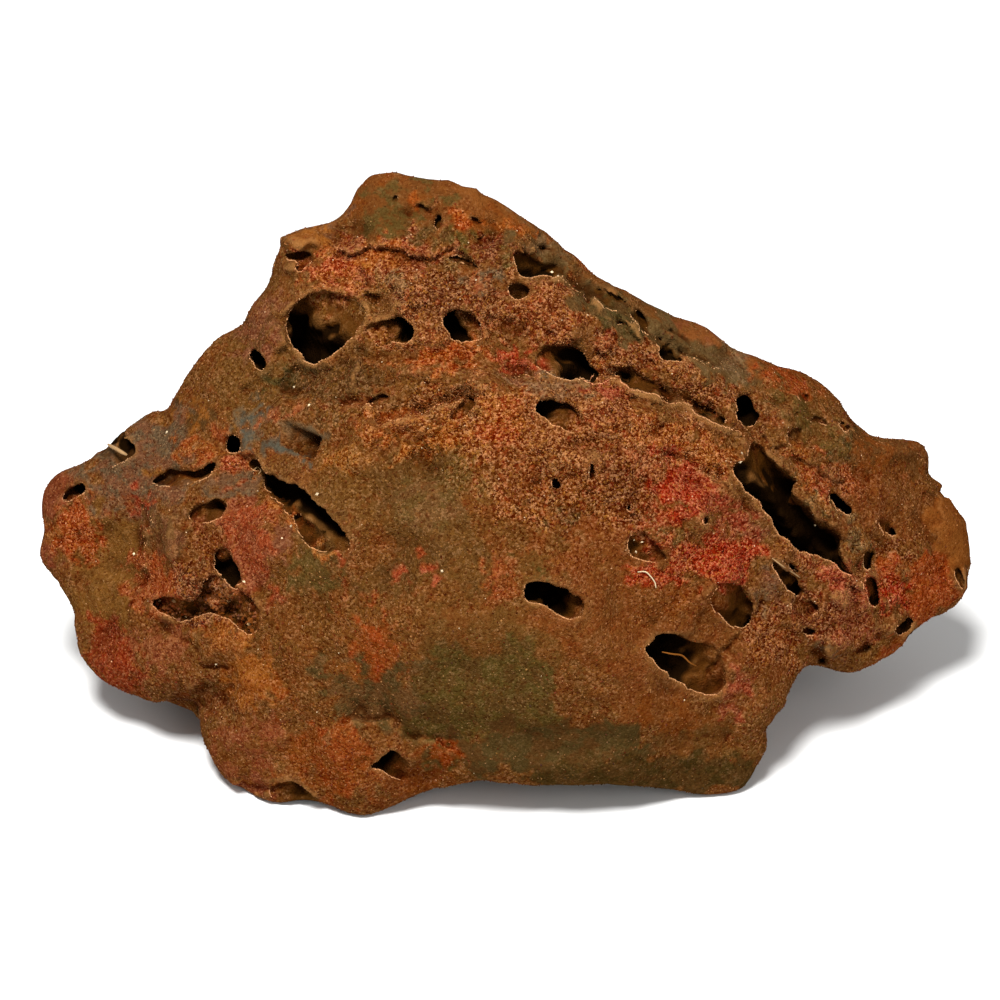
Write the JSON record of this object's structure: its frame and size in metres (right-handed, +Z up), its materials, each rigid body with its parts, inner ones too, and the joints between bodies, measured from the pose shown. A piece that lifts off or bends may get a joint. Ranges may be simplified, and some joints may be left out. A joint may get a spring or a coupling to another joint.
{
  "type": "termite rock",
  "caption": "Weathered laterite stone drilled through by termite galleries, with a flat base to stand it in an aquarium, terrarium or display.",
  "frame": {"origin": "middle of the base of the stone's bounding box, on the surface that it stands on", "axes": "+Z up; the broad pitted face looks towards -Y and leans back by 30 degrees; +X along the stone's length, to the right as the face is looked at"},
  "size_m": [0.244, 0.122, 0.1397],
  "materials": {
    "laterite": "matte"
  },
  "bodies": {
    "root": {"termite_rock": "laterite"}
  },
  "joints": []
}
